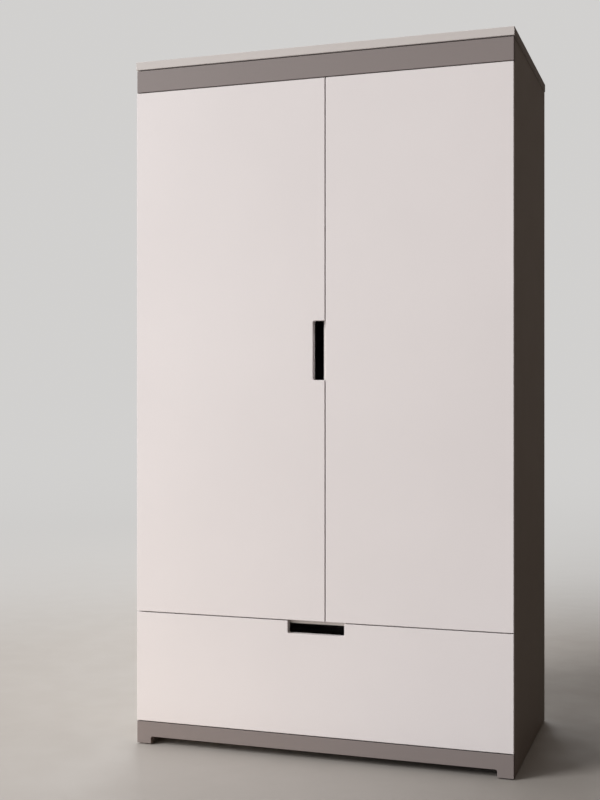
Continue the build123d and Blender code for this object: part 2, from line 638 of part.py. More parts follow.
with BuildPart() as bottom_panel:
    block((-INNER, INNER), (CASE_FRONT_Y, BOARD_BACK_Y), (BOTTOM_Z, PLINTH_TOP_Z))
    add(dowel_holes.part, mode=Mode.SUBTRACT)
    add(cam_holes.part, mode=Mode.SUBTRACT)
save(bottom_panel, "bottom_panel")

with BuildPart() as compartment_floor:
    block((-INNER, INNER), (CASE_FRONT_Y, BOARD_BACK_Y), (FLOOR_SHELF_Z, FLOOR_TOP_Z))
    chamfer(compartment_floor.faces().sort_by(Axis.Y)[0].edges().filter_by(Axis.X), length=EDGE_BREAK)
    add(dowel_holes.part, mode=Mode.SUBTRACT)
    add(cam_holes.part, mode=Mode.SUBTRACT)
save(compartment_floor, "compartment_floor")

with BuildPart() as centre_partition:
    block((PARTITION_LEFT, PARTITION_RIGHT), (CASE_FRONT_Y, BOARD_BACK_Y), (FLOOR_TOP_Z, TOP_Z))
    chamfer(centre_partition.faces().sort_by(Axis.Y)[0].edges().filter_by(Axis.Z), length=EDGE_BREAK)
    add(dowel_holes.part, mode=Mode.SUBTRACT)
    add(pin_rows.part, mode=Mode.SUBTRACT)
    add(bracket_screw_holes.part, mode=Mode.SUBTRACT)
save(centre_partition, "centre_partition")

with BuildPart() as top_fascia:
    block((-HALF, HALF), (CASE_FRONT_Y - BOARD, CASE_FRONT_Y), (FASCIA_Z, FASCIA_TOP_Z))
    fillet(top_fascia.faces().sort_by(Axis.Y)[0].edges(), radius=ROUND)
    add(dowel_holes.part, mode=Mode.SUBTRACT)
save(top_fascia, "top_fascia")

with BuildPart() as front_plinth:
    with BuildSketch(Plane((0, CASE_FRONT_Y, 0), x_dir=(1, 0, 0), z_dir=(0, -1, 0))):
        with Locations((0, (GLIDE_HEIGHT + PLINTH_TOP_Z) / 2)):
            Rectangle(CASE_WIDTH, PLINTH_TOP_Z - GLIDE_HEIGHT)
        with Locations((0, (GLIDE_HEIGHT + PLINTH_CUT_HEIGHT) / 2)):
            Rectangle(CASE_WIDTH - 2 * PLINTH_FOOT, PLINTH_CUT_HEIGHT - GLIDE_HEIGHT,
                      mode=Mode.SUBTRACT)
    extrude(amount=BOARD)
    cut_corners = front_plinth.edges().filter_by(Axis.Y).filter_by_position(
        Axis.Z, PLINTH_CUT_HEIGHT - 0.1, PLINTH_CUT_HEIGHT + 0.1)
    fillet(cut_corners, radius=NOTCH_CORNER)
    fillet(front_plinth.faces().sort_by(Axis.Y)[0].edges(), radius=ROUND)
    add(dowel_holes.part, mode=Mode.SUBTRACT)
save(front_plinth, "front_plinth")

with BuildPart() as rear_plinth_rail:
    block((-INNER + CLEAR, INNER - CLEAR), (REAR_PLINTH_Y, REAR_PLINTH_Y + BOARD),
          (GLIDE_HEIGHT, BOTTOM_Z))
save(rear_plinth_rail, "rear_plinth_rail")

BACK_PANEL_Z = BOTTOM_Z + 2.0
BACK_PANEL_TOP = TOP_Z + GROOVE - GROOVE_PLAY
JOINT_WEB = 1.0
JOINT_LIP = 1.0                 # thickness of the strip's front and back lips
JOINT_HALF_WIDTH = 9.0
wall_access_seats = [((x, BACK_PANEL_Y - 5.0, WALL_HOLE_Z), (0, 1, 0)) for x in WALL_BRACKET_XS]

with BuildPart() as left_back_panel:
    block((-INNER - GROOVE + GROOVE_PLAY, PARTITION_X - JOINT_WEB / 2 - 2 * SHEET_PLAY),
          (BACK_PANEL_Y, BACK_PANEL_Y + BACK_BOARD), (BACK_PANEL_Z, BACK_PANEL_TOP))
    rods(wall_access_seats, WALL_HOLE_RADIUS, 20.0, mode=Mode.SUBTRACT)
save(left_back_panel, "left_back_panel")

with BuildPart() as right_back_panel:
    block((PARTITION_X + JOINT_WEB / 2 + 2 * SHEET_PLAY, INNER + GROOVE - GROOVE_PLAY),
          (BACK_PANEL_Y, BACK_PANEL_Y + BACK_BOARD), (BACK_PANEL_Z, BACK_PANEL_TOP))
    rods(wall_access_seats, WALL_HOLE_RADIUS, 20.0, mode=Mode.SUBTRACT)
save(right_back_panel, "right_back_panel")

with BuildPart() as back_joint_strip:
    for y in (BACK_PANEL_Y - SHEET_PLAY - JOINT_LIP, BACK_PANEL_Y + BACK_BOARD + SHEET_PLAY):
        block((PARTITION_X - JOINT_HALF_WIDTH, PARTITION_X + JOINT_HALF_WIDTH), (y, y + JOINT_LIP),
              (BACK_PANEL_Z, TOP_Z - 1.0))
    block((PARTITION_X - JOINT_WEB / 2, PARTITION_X + JOINT_WEB / 2),
          (BACK_PANEL_Y - 0.5, BACK_PANEL_Y + BACK_BOARD + 0.5), (BACK_PANEL_Z, TOP_Z - 1.0))
save(back_joint_strip, "back_joint_strip")


# ---------------------------------------------------------------- loose shelves
SHELF_SETBACK = 20.0            # from the case's front edges


def shelf(x_span, pin_z):
    """Shelf that lies on its four pins, with a chamfered front edge."""
    bottom = pin_z + PIN_RADIUS
    with BuildPart() as board:
        block(x_span, (CASE_FRONT_Y + SHELF_SETBACK, BOARD_BACK_Y - 2.0), (bottom, bottom + BOARD))
        chamfer(board.faces().sort_by(Axis.Y)[0].edges().filter_by(Axis.X), length=EDGE_BREAK)
    return board


save(shelf((-INNER + CLEAR, PARTITION_LEFT - CLEAR), HAT_PIN_Z), "hat_shelf")
for number, pin_z in enumerate(SHELF_PIN_HEIGHTS, start=1):
    save(shelf((PARTITION_RIGHT + CLEAR, INNER - CLEAR), pin_z), f"shelf_{number}")

# ---------------------------------------------------------------- doors
BUMPER_RADIUS = 3.5
BUMPER_HEIGHT = 1.6
BUMPER_SETBACK = 60.0           # from the top and bottom of a door
DRAWER_BUMPER_SETBACK = 40.0
FRONT_PLANE = Plane((0, DOOR_BACK_Y, 0), x_dir=(1, 0, 0), z_dir=(0, -1, 0))


def front_board(x_span, z_span, notch=None):
    """Board in the front plane; notch gives the spans of a cut-out in one of its edges."""
    with BuildPart() as board:
        with BuildSketch(FRONT_PLANE):
            with Locations((sum(x_span) / 2, sum(z_span) / 2)):
                Rectangle(x_span[1] - x_span[0], z_span[1] - z_span[0])
            if notch:
                with Locations((sum(notch[0]) / 2, sum(notch[1]) / 2)):
                    Rectangle(notch[0][1] - notch[0][0], notch[1][1] - notch[1][0],
                              mode=Mode.SUBTRACT)
        extrude(amount=BOARD)
        if notch:
            inside = [edge for edge in board.edges().filter_by(Axis.Y)
                      if x_span[0] + 1 < edge.center().X < x_span[1] - 1
                      and z_span[0] + 1 < edge.center().Z < z_span[1] - 1]
            fillet(inside, radius=NOTCH_CORNER)
        fillet(board.faces().sort_by(Axis.Y)[0].edges(), radius=ROUND)
        fillet(board.faces().sort_by(Axis.Y)[-1].edges(), radius=ROUND / 2)
    return board.part


left_door_edge = DOOR_SPLIT_X - GAP / 2
right_door_edge = DOOR_SPLIT_X + GAP / 2
door_notch = ((left_door_edge - NOTCH_DEEP, left_door_edge),
              (DOOR_NOTCH_Z - NOTCH_LONG / 2, DOOR_NOTCH_Z + NOTCH_LONG / 2))
left_door_blank = front_board((-HALF, left_door_edge), (DOOR_Z, DOOR_TOP_Z), door_notch)
right_door_blank = front_board((right_door_edge, HALF), (DOOR_Z, DOOR_TOP_Z))

with BuildPart() as left_door:
    add(left_door_blank)
    add(cup_pockets.part, mode=Mode.SUBTRACT)
save(left_door, "left_door")

with BuildPart() as right_cup_pockets:
    mirror(cup_pockets.part, about=Plane.YZ)

with BuildPart() as right_door:
    add(right_door_blank)
    add(right_cup_pockets.part, mode=Mode.SUBTRACT)
save(right_door, "right_door")


def bumpers(x_positions, z_positions):
    """Soft pads stuck to the back of a front."""
    seats = [((x, DOOR_BACK_Y, z), (0, 1, 0)) for x in x_positions for z in z_positions]
    with BuildPart() as pads:
        rods(seats, BUMPER_RADIUS, BUMPER_HEIGHT)
    return pads


door_bumper_zs = (DOOR_Z + BUMPER_SETBACK, DOOR_TOP_Z - BUMPER_SETBACK)
drawer_bumper_zs = (DRAWER_Z + DRAWER_BUMPER_SETBACK, DRAWER_TOP_Z - DRAWER_BUMPER_SETBACK)
save(bumpers([left_door_edge - 5.0], door_bumper_zs), "left_door_bumpers")
save(bumpers([right_door_edge + 4.0], door_bumper_zs), "right_door_bumpers")
save(bumpers((-FACE_BOARD_X, FACE_BOARD_X), drawer_bumper_zs), "drawer_bumpers")

# ---------------------------------------------------------------- drawer
BOX_HALF = INNER - RUNNER_SPACE
BOX_INNER = BOX_HALF - DRAWER_SIDE
BOX_BACK_Y = DOOR_BACK_Y + RUNNER_LENGTH
BOX_TOP_Z = DRAWER_BOX_Z + DRAWER_BOX_HEIGHT
SHEET = 4.0                     # drawer bottom
SHEET_Z = DRAWER_BOX_Z + 8.0
CONNECTOR_RADIUS = 3.0
CONNECTOR_LENGTH = 33.0
BACK_SCREW_RADIUS = 2.0
BACK_SCREW_HEAD = 3.6
BACK_SCREW_SUNK = 2.0           # from the drawer side's face to the screw's shoulder
BRACE_HALF_WIDTH = 25.0
BRACE_THICK = 7.0
connector_seats = [((side * (BOX_HALF - DRAWER_SIDE / 2), DOOR_BACK_Y - DOWEL_IN_FACE, z), (0, 1, 0))
                   for side in (-1, 1) for z in (DRAWER_BOX_Z + 30.0, BOX_TOP_Z - 30.0)]
back_screw_seats = [((side * (BOX_HALF - BACK_SCREW_SUNK), BOX_BACK_Y - DRAWER_SIDE / 2, z), (-side, 0, 0))
                    for side in (-1, 1) for z in (DRAWER_BOX_Z + 50.0, BOX_TOP_Z - 40.0)]

with BuildPart() as drawer_fixing_holes:
    rods(connector_seats, CONNECTOR_RADIUS + SLACK, CONNECTOR_LENGTH + 1.0)
    rods(back_screw_seats, BACK_SCREW_RADIUS + SLACK, 41.0)
    rods([(point, (-direction[0], 0, 0)) for point, direction in back_screw_seats],
         BACK_SCREW_HEAD + SLACK, BACK_SCREW_SUNK + 1.0)

drawer_notch = ((-NOTCH_LONG / 2, NOTCH_LONG / 2), (DRAWER_TOP_Z - NOTCH_DEEP, DRAWER_TOP_Z))
drawer_front_blank = front_board((-HALF, HALF), (DRAWER_Z, DRAWER_TOP_Z), drawer_notch)

with BuildPart() as drawer_front:
    add(drawer_front_blank)
    block((-BOX_INNER - GROOVE, BOX_INNER + GROOVE), (DOOR_BACK_Y - GROOVE, DOOR_BACK_Y),
          (SHEET_Z - SHEET_PLAY, SHEET_Z + SHEET + SHEET_PLAY), mode=Mode.SUBTRACT)
    add(drawer_fixing_holes.part, mode=Mode.SUBTRACT)
save(drawer_front, "drawer_front")


def drawer_side(side):
    """Side of the drawer box with the groove for its bottom."""
    outer, inner = side * BOX_HALF, side * BOX_INNER
    with BuildPart() as board:
        block(sorted((outer, inner)), (DOOR_BACK_Y, BOX_BACK_Y), (DRAWER_BOX_Z, BOX_TOP_Z))
        chamfer(board.faces().sort_by(Axis.Z)[-1].edges().filter_by(Axis.Y), length=EDGE_BREAK)
        block(sorted((inner, inner + side * GROOVE)), (DOOR_BACK_Y, BOX_BACK_Y),
              (SHEET_Z - SHEET_PLAY, SHEET_Z + SHEET + SHEET_PLAY), mode=Mode.SUBTRACT)
        add(drawer_fixing_holes.part, mode=Mode.SUBTRACT)
        add(drawer_screw_holes, mode=Mode.SUBTRACT)
    return board


save(drawer_side(-1), "left_drawer_side")
save(drawer_side(1), "right_drawer_side")

with BuildPart() as drawer_back:
    block((-BOX_INNER, BOX_INNER), (BOX_BACK_Y - DRAWER_SIDE, BOX_BACK_Y),
          (SHEET_Z + SHEET + SHEET_PLAY, BOX_TOP_Z))
    add(drawer_fixing_holes.part, mode=Mode.SUBTRACT)
save(drawer_back, "drawer_back")

with BuildPart() as drawer_bottom:
    block((-BOX_INNER - GROOVE + GROOVE_PLAY, BOX_INNER + GROOVE - GROOVE_PLAY),
          (DOOR_BACK_Y - GROOVE + GROOVE_PLAY, BOX_BACK_Y), (SHEET_Z, SHEET_Z + SHEET))
save(drawer_bottom, "drawer_bottom")

with BuildPart() as drawer_brace:
    block((-BRACE_HALF_WIDTH, BRACE_HALF_WIDTH), (DOOR_BACK_Y + SHEET_PLAY, BOX_BACK_Y),
          (SHEET_Z - BRACE_THICK, SHEET_Z))
save(drawer_brace, "drawer_brace")

with BuildPart() as drawer_fixings:
    rods(connector_seats, CONNECTOR_RADIUS, CONNECTOR_LENGTH)
    screws(back_screw_seats, BACK_SCREW_RADIUS, 40.0, BACK_SCREW_HEAD, 1.5)
save(drawer_fixings, "drawer_fixings")
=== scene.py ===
import json
import math

import bmesh
import bpy
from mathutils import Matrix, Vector


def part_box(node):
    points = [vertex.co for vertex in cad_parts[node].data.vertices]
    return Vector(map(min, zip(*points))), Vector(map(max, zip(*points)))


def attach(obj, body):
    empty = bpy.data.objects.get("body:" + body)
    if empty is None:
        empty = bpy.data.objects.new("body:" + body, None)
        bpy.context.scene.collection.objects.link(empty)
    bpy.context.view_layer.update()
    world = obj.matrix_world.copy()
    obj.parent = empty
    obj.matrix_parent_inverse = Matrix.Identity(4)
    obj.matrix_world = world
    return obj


# Looks for the two-door wardrobe. Everything is in metres, in the CAD model's own frame:
# +X right seen from the front, +Y towards the back, +Z up, floor at z = 0.

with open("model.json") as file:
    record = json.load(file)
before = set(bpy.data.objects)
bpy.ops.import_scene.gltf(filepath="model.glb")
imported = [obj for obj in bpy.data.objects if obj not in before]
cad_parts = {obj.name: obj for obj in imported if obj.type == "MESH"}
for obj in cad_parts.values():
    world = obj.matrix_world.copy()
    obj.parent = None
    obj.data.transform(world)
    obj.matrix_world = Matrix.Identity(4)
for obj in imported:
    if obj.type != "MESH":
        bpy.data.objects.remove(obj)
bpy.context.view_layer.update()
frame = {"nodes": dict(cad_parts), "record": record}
nodes = frame["nodes"]
slot_of = {part["node"]: part["material_slot"] for part in frame["record"]["subparts"]}
opening = {o["name"]: o["box_m"] for o in frame["record"]["physics"]["openings"]}
MM = 0.001


# ---------------------------------------------------------------- shader building blocks
class Shader:
    """A node material with a Principled shader and short names for the usual nodes."""

    def __init__(self, name):
        self.material = bpy.data.materials.new(name)
        self.material.use_nodes = True
        self.tree = self.material.node_tree
        self.tree.nodes.clear()
        output = self.add("ShaderNodeOutputMaterial")
        self.bsdf = self.add("ShaderNodeBsdfPrincipled")
        self.link(self.bsdf.outputs["BSDF"], output.inputs["Surface"])
        self.coords = self.add("ShaderNodeTexCoord")

    @classmethod
    def on_tree(cls, tree):
        """The same short names on a node tree that already has its shader."""
        shader = cls.__new__(cls)
        shader.tree = tree
        shader.coords = shader.add("ShaderNodeTexCoord")
        return shader

    def add(self, kind):
        return self.tree.nodes.new(kind)

    def link(self, source, target):
        self.tree.links.new(source, target)

    def feed(self, target, value):
        """Link a socket, or set a plain number or colour."""
        if isinstance(value, bpy.types.NodeSocket):
            self.link(value, target)
        elif isinstance(value, tuple):
            target.default_value = (*value, 1.0) if target.type == "RGBA" else value
        else:
            target.default_value = value

    def position(self, stretch=(1, 1, 1)):
        """Object-space position, stretched along the axes."""
        mapping = self.add("ShaderNodeMapping")
        mapping.inputs["Scale"].default_value = stretch
        self.link(self.coords.outputs["Object"], mapping.inputs["Vector"])
        return mapping.outputs["Vector"]

    def noise(self, scale, detail=3.0, roughness=0.5, stretch=(1, 1, 1)):
        texture = self.add("ShaderNodeTexNoise")
        texture.inputs["Scale"].default_value = scale
        texture.inputs["Detail"].default_value = detail
        texture.inputs["Roughness"].default_value = roughness
        self.link(self.position(stretch), texture.inputs["Vector"])
        return texture.outputs["Fac"]

    def wave(self, scale, axis, distortion=0.5):
        texture = self.add("ShaderNodeTexWave")
        texture.bands_direction = axis
        texture.inputs["Scale"].default_value = scale
        texture.inputs["Distortion"].default_value = distortion
        texture.inputs["Detail"].default_value = 1.0
        self.link(self.position(), texture.inputs["Vector"])
        return texture.outputs["Fac"]

    def math(self, operation, *values, clamp=False):
        node = self.add("ShaderNodeMath")
        node.operation = operation
        node.use_clamp = clamp
        for socket, value in zip(node.inputs, values):
            self.feed(socket, value)
        return node.outputs[0]

    def ramp(self, value, low, high, start=0.0, end=1.0):
        """Smooth step from start to end as value goes from low to high."""
        node = self.add("ShaderNodeMapRange")
        node.interpolation_type = "SMOOTHSTEP"
        for name, number in (("From Min", low), ("From Max", high), ("To Min", start), ("To Max", end)):
            node.inputs[name].default_value = number
        self.link(value, node.inputs["Value"])
        return node.outputs["Result"]

    def mix(self, factor, low, high, blend="MIX"):
        node = self.add("ShaderNodeMix")
        node.data_type = "RGBA"
        node.blend_type = blend
        self.feed(node.inputs[0], factor)
        self.feed(node.inputs[6], low)
        self.feed(node.inputs[7], high)
        return node.outputs[2]

    def grey(self, value):
        node = self.add("ShaderNodeCombineColor")
        for socket in node.inputs[:3]:
            self.link(value, socket)
        return node.outputs["Color"]

    def split(self, vector):
        node = self.add("ShaderNodeSeparateXYZ")
        self.link(vector, node.inputs[0])
        return node.outputs

    def object_part(self, output, axis):
        """One part of the object-space position ("Object") or normal ("Normal")."""
        return self.split(self.coords.outputs[output])[axis]

    def faces_along(self, axis):
        """1 where the surface faces along an axis, 0 where it faces across it."""
        return self.ramp(self.math("ABSOLUTE", self.object_part("Normal", axis)), 0.55, 0.8)

    def edges(self, radius):
        """1 along sharp edges and 0 on flats, within about radius."""
        bevel = self.add("ShaderNodeBevel")
        bevel.samples = 4
        bevel.inputs["Radius"].default_value = radius
        geometry = self.add("ShaderNodeNewGeometry")
        dot = self.add("ShaderNodeVectorMath")
        dot.operation = "DOT_PRODUCT"
        self.link(bevel.outputs["Normal"], dot.inputs[0])
        self.link(geometry.outputs["Normal"], dot.inputs[1])
        return self.ramp(dot.outputs["Value"], 0.72, 0.999, 1.0, 0.0)

    def bump(self, height, distance, strength=1.0, under=None):
        node = self.add("ShaderNodeBump")
        node.inputs["Strength"].default_value = strength
        node.inputs["Distance"].default_value = distance
        self.link(height, node.inputs["Height"])
        if under is not None:
            self.link(under, node.inputs["Normal"])
        return node.outputs["Normal"]

    def finish(self, colour, roughness, normal=None, **constants):
        self.feed(self.bsdf.inputs["Base Color"], colour)
        self.feed(self.bsdf.inputs["Roughness"], roughness)
        if normal is not None:
            self.link(normal, self.bsdf.inputs["Normal"])
        for name, value in constants.items():
            self.bsdf.inputs[name.replace("_", " ")].default_value = value
        return self.material


def tint(colour, factor):
    return tuple(min(channel * factor, 1.0) for channel in colour)


# ---------------------------------------------------------------- laminated boards
WHITE = (0.750, 0.718, 0.726)
WHITE_BAND = (0.765, 0.735, 0.738)
GREY = (0.226, 0.196, 0.191)
GREY_BAND = (0.212, 0.183, 0.178)
SIDE = (0.350, 0.312, 0.286)
SIDE_BAND = (0.330, 0.294, 0.270)
INNER = (0.740, 0.720, 0.700)
INNER_BAND = (0.760, 0.735, 0.720)
# The top panel's front and back edges are painted darker than the white band: painted shade.
TOP_BAND_PAINTED_SHADE = (0.560, 0.530, 0.517)  # front and back edges of the top panel
BAND_THICK = 2.0 * MM           # edge banding, with a faint seam where the face begins
SEAM_STRENGTH = 0.16
WEAR_REACH = 0.9 * MM           # paler wear along sharp edges
WEAR_STRENGTH = 0.35
# Dust near the floor, with painted shade in the same darkening towards the floor.
DUST_AND_SHADE = (0.19, 0.165, 0.145)
DUST_AND_SHADE_HEIGHT = 0.14              # above the floor
DUST_AND_SHADE_STRENGTH = 0.08
TOUCH_REACH = 45 * MM           # finger marks around a notch
TOUCH_STRENGTH = 0.10
WEAVE_SCALE = 230               # ribs of the linen texture
LINEN_DEPTH = 0.05 * MM
PEBBLE_DEPTH = 0.06 * MM        # fine texture of the plain boards
WAVINESS = 0.8 * MM             # of the whole face, very faint


def near_box(shader, box, reach):
    """1 inside a box, falling to 0 at reach outside it."""
    position = shader.split(shader.coords.outputs["Object"])
    distance = None
    for axis in range(3):
        low, high = box[0][axis], box[1][axis]
        centre, half = (low + high) / 2, (high - low) / 2
        away = shader.math("ABSOLUTE", shader.math("SUBTRACT", position[axis], centre))
        away = shader.math("MAXIMUM", shader.math("SUBTRACT", away, half), 0.0)
        squared = shader.math("MULTIPLY", away, away)
        distance = squared if distance is None else shader.math("ADD", distance, squared)
    return shader.ramp(shader.math("SQRT", distance), 0.0, reach, 1.0, 0.0)


def printed_face(s, face, flecks):
    """Face colour with soft clouds and fine flecks."""
    colour = s.mix(s.ramp(s.noise(1.7, detail=4), 0.3, 0.7), tint(face, 0.975), tint(face, 1.02))
    return s.mix(s.ramp(flecks, 0.35, 0.65, 0.0, 0.5), colour, tint(face, 0.955))


def faces_inward(s, axis):
    """1 where a surface faces the wardrobe's middle plane across an axis."""
    outward = s.math("MULTIPLY", s.object_part("Object", axis), s.object_part("Normal", axis))
    return s.math("LESS_THAN", outward, 0.0)


def band_seam(s):
    """The thin line between a face and its edge band."""
    seam = s.edges(BAND_THICK)
    return s.math("MULTIPLY", s.ramp(seam, 0.02, 0.12), s.ramp(seam, 0.15, 0.35, 1.0, 0.0))


def worn_edges(s):
    """1 on the worn stretches of the sharp edges."""
    return s.math("MULTIPLY", s.edges(WEAR_REACH), s.ramp(s.noise(60, detail=4), 0.42, 0.62))


def low_dust_and_shade(s):
    """Patchy dust with painted shade, both darker towards the floor."""
    patches = s.ramp(s.noise(18, detail=6, roughness=0.7), 0.35, 0.75, 0.4, 1.0)
    return s.math("MULTIPLY", s.ramp(s.object_part("Object", 2), 0.0, DUST_AND_SHADE_HEIGHT, 1.0, 0.0), patches)


def board_relief(s, linen):
    """Normal of a linen or finely pebbled face, with a very faint waviness under it."""
    if linen:
        ribs = s.math("ADD", s.wave(WEAVE_SCALE, "Y"), s.wave(WEAVE_SCALE, "Z"))
        normal = s.bump(s.math("ADD", s.wave(WEAVE_SCALE, "X"), ribs), LINEN_DEPTH, 0.35)
    else:
        normal = s.bump(s.noise(520, detail=2), PEBBLE_DEPTH, 0.45)
    return s.bump(s.noise(3.5, detail=1), WAVINESS, 0.12, under=normal)


def board_material(name, axis, face, band, roughness, linen=False, notch=None, worn_edge=1.12, end=None,
                   inside=None):
    """Melamine-faced board: printed face, edge band on its narrow sides, fine surface texture."""
    s = Shader(name)
    flecks = s.noise(1300, detail=2, roughness=0.7)
    face_colour = printed_face(s, face, flecks)
    if end:
        band = s.mix(s.faces_along(0), band, end)
    if inside:
        face_colour = s.mix(faces_inward(s, axis), face_colour, inside)
    colour = s.mix(s.faces_along(axis), band, face_colour)
    colour = s.mix(s.math("MULTIPLY", band_seam(s), SEAM_STRENGTH), colour, tint(face, 0.55))
    colour = s.mix(s.math("MULTIPLY", worn_edges(s), WEAR_STRENGTH), colour, tint(face, worn_edge))
    # dust and painted shade: the boards turn darker towards the floor
    colour = s.mix(s.math("MULTIPLY", low_dust_and_shade(s), DUST_AND_SHADE_STRENGTH), colour, DUST_AND_SHADE)
    clouds = s.noise(14, detail=5, roughness=0.6)
    rough = s.math("ADD", s.ramp(clouds, 0.3, 0.7, roughness - 0.015, roughness + 0.015),
                   s.ramp(flecks, 0.3, 0.7, -0.03, 0.03))
    if notch:
        touched = s.math("MULTIPLY", near_box(s, notch, TOUCH_REACH), s.ramp(s.noise(90), 0.35, 0.6))
        touched = s.math("MULTIPLY", touched, TOUCH_STRENGTH)
        rough = s.math("SUBTRACT", rough, touched)
        colour = s.mix(touched, colour, tint(face, 0.86))
    return s.finish(colour, rough, board_relief(s, linen), Specular_IOR_Level=0.42)


# ---------------------------------------------------------------- hardboard
BARE_DARK = (0.275, 0.175, 0.102)
BARE_LIGHT = (0.325, 0.212, 0.128)
FIBRE = (0.175, 0.105, 0.060)
PALE_CHIP = (0.43, 0.31, 0.20)
PAINT_DARK = (0.705, 0.688, 0.665)
PAINT_LIGHT = (0.735, 0.718, 0.698)
MESH_SCALE = 160
MESH_DEPTH = 0.25 * MM


def hardboard_material():
    """Hardboard: painted white towards the inside, bare brown fibre with a mesh print behind and below."""
    s = Shader("hardboard")
    fibres = s.noise(420, detail=8, roughness=0.75, stretch=(1, 1, 0.5))
    chips = s.noise(130, detail=3, stretch=(0.4, 1, 1))
    blotches = s.noise(2.5, detail=6, roughness=0.65)
    bare = s.mix(s.ramp(blotches, 0.2, 0.8), BARE_DARK, BARE_LIGHT)
    bare = s.mix(s.ramp(fibres, 0.3, 0.7, 0.0, 0.65), bare, FIBRE)
    bare = s.mix(s.ramp(chips, 0.64, 0.74, 0.0, 0.5), bare, PALE_CHIP)
    painted = s.mix(s.ramp(s.noise(9, detail=4), 0.3, 0.7), PAINT_DARK, PAINT_LIGHT)
    behind = s.ramp(s.object_part("Normal", 1), 0.4, 0.6)
    below = s.ramp(s.math("MULTIPLY", s.object_part("Normal", 2), -1.0), 0.4, 0.6)
    is_bare = s.math("MAXIMUM", behind, below)
    mesh = s.math("MULTIPLY", s.wave(MESH_SCALE, "X", 0.2), s.wave(MESH_SCALE, "Z", 0.2))
    relief = s.math("MULTIPLY", s.math("ADD", mesh, fibres), is_bare)
    rough = s.ramp(is_bare, 0.0, 1.0, 0.5, 0.85)
    return s.finish(s.mix(is_bare, painted, bare), rough, s.bump(relief, MESH_DEPTH, 0.6),
                    Specular_IOR_Level=0.35)


# ---------------------------------------------------------------- metal, plastic and raw wood
ZINC_DARK = (0.575, 0.58, 0.59)
ZINC_LIGHT = (0.635, 0.635, 0.635)
ZINC_EDGE_HIGHLIGHT = (0.80, 0.80, 0.80)
CHROME_DARK = (0.70, 0.70, 0.71)
CHROME_LIGHT = (0.82, 0.82, 0.83)
PLASTIC_DARK = (0.72, 0.72, 0.70)
PLASTIC_LIGHT = (0.80, 0.80, 0.78)
PAD_DARK = (0.60, 0.61, 0.62)
PAD_LIGHT = (0.72, 0.73, 0.74)
BEECH_DARK = (0.48, 0.30, 0.16)
BEECH_LIGHT = (0.66, 0.46, 0.28)


def zinc_material():
    """Zinc-plated steel with faint streaks along Y, and a painted highlight along its edges."""
    s = Shader("zinc_steel")
    grain = s.noise(900, detail=4, roughness=0.7, stretch=(1, 0.08, 1))
    bloom = s.noise(45, detail=5)
    colour = s.mix(s.ramp(bloom, 0.3, 0.7), ZINC_DARK, ZINC_LIGHT)
    # painted highlight: the metal's colour turns pale along its sharp edges
    colour = s.mix(s.math("MULTIPLY", s.edges(0.4 * MM), 0.6), colour, ZINC_EDGE_HIGHLIGHT)
    rough = s.ramp(grain, 0.3, 0.7, 0.27, 0.42)
    return s.finish(colour, rough, s.bump(grain, 0.02 * MM, 0.5), Metallic=1.0)


def chrome_material():
    """Chromed tube, with fine rings where hangers slide."""
    s = Shader("rail_chrome")
    rings = s.noise(160, detail=5, roughness=0.7, stretch=(6, 0.15, 0.15))
    haze = s.noise(20, detail=4)
    colour = s.mix(s.ramp(haze, 0.3, 0.7), CHROME_DARK, CHROME_LIGHT)
    rough = s.math("ADD", s.ramp(rings, 0.5, 0.75, 0.09, 0.30), s.ramp(haze, 0.3, 0.7, 0.0, 0.05))
    return s.finish(colour, rough, s.bump(rings, 0.01 * MM, 0.4), Metallic=1.0)


def moulded_material(name, low, high, roughness, coat=0.0):
    """Moulded plastic or rubber with a fine spark texture and a painted highlight along its edges."""
    s = Shader(name)
    speck = s.noise(1500, detail=2)
    cloud = s.noise(25, detail=4)
    colour = s.mix(s.ramp(cloud, 0.3, 0.7), low, high)
    # painted highlight: paler colour along sharp edges
    colour = s.mix(s.math("MULTIPLY", s.edges(0.5 * MM), 0.3), colour, tint(high, 1.1))
    rough = s.ramp(speck, 0.3, 0.7, roughness - 0.05, roughness + 0.05)
    return s.finish(colour, rough, s.bump(speck, 0.03 * MM, 0.5), Coat_Weight=coat)


def beech_material():
    """Raw beech with its grain along X."""
    s = Shader("beech")
    grain = s.noise(120, detail=6, roughness=0.65, stretch=(0.2, 1, 1))
    colour = s.mix(s.ramp(grain, 0.35, 0.65), BEECH_DARK, BEECH_LIGHT)
    return s.finish(colour, s.ramp(grain, 0.3, 0.7, 0.5, 0.7), s.bump(grain, 0.15 * MM, 0.5))


# ---------------------------------------------------------------- materials onto the CAD nodes
def thin_axis(node):
    """The axis across the board."""
    low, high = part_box(node)
    size = high - low
    return min(range(3), key=lambda axis: size[axis])


BOARD_FINISH = {
    "white_laminate": dict(face=WHITE, band=WHITE_BAND, roughness=0.50),
    "grey_laminate": dict(face=GREY, band=GREY_BAND, roughness=0.50, worn_edge=1.15),
    "side_laminate": dict(face=SIDE, band=SIDE_BAND, roughness=0.50, worn_edge=1.4, inside=INNER),
    "inner_laminate": dict(face=INNER, band=INNER_BAND, roughness=0.48, linen=True),
}
NOTCHED = {"left_door": opening["door_notch"], "drawer_front": opening["drawer_notch"]}
# painted shade: the top panel's front and back edges take a darker band colour
OWN_BAND = {"top_panel": dict(band=TOP_BAND_PAINTED_SHADE, end=SIDE_BAND)}
OTHER_FINISH = {
    "hardboard": hardboard_material(),
    "zinc_steel": zinc_material(),
    "rail_chrome": chrome_material(),
    "white_plastic": moulded_material("white_plastic", PLASTIC_DARK, PLASTIC_LIGHT, 0.42),
    "soft_pad": moulded_material("soft_pad", PAD_DARK, PAD_LIGHT, 0.30, coat=0.4),
    "beech": beech_material(),
}
board_cache = {}


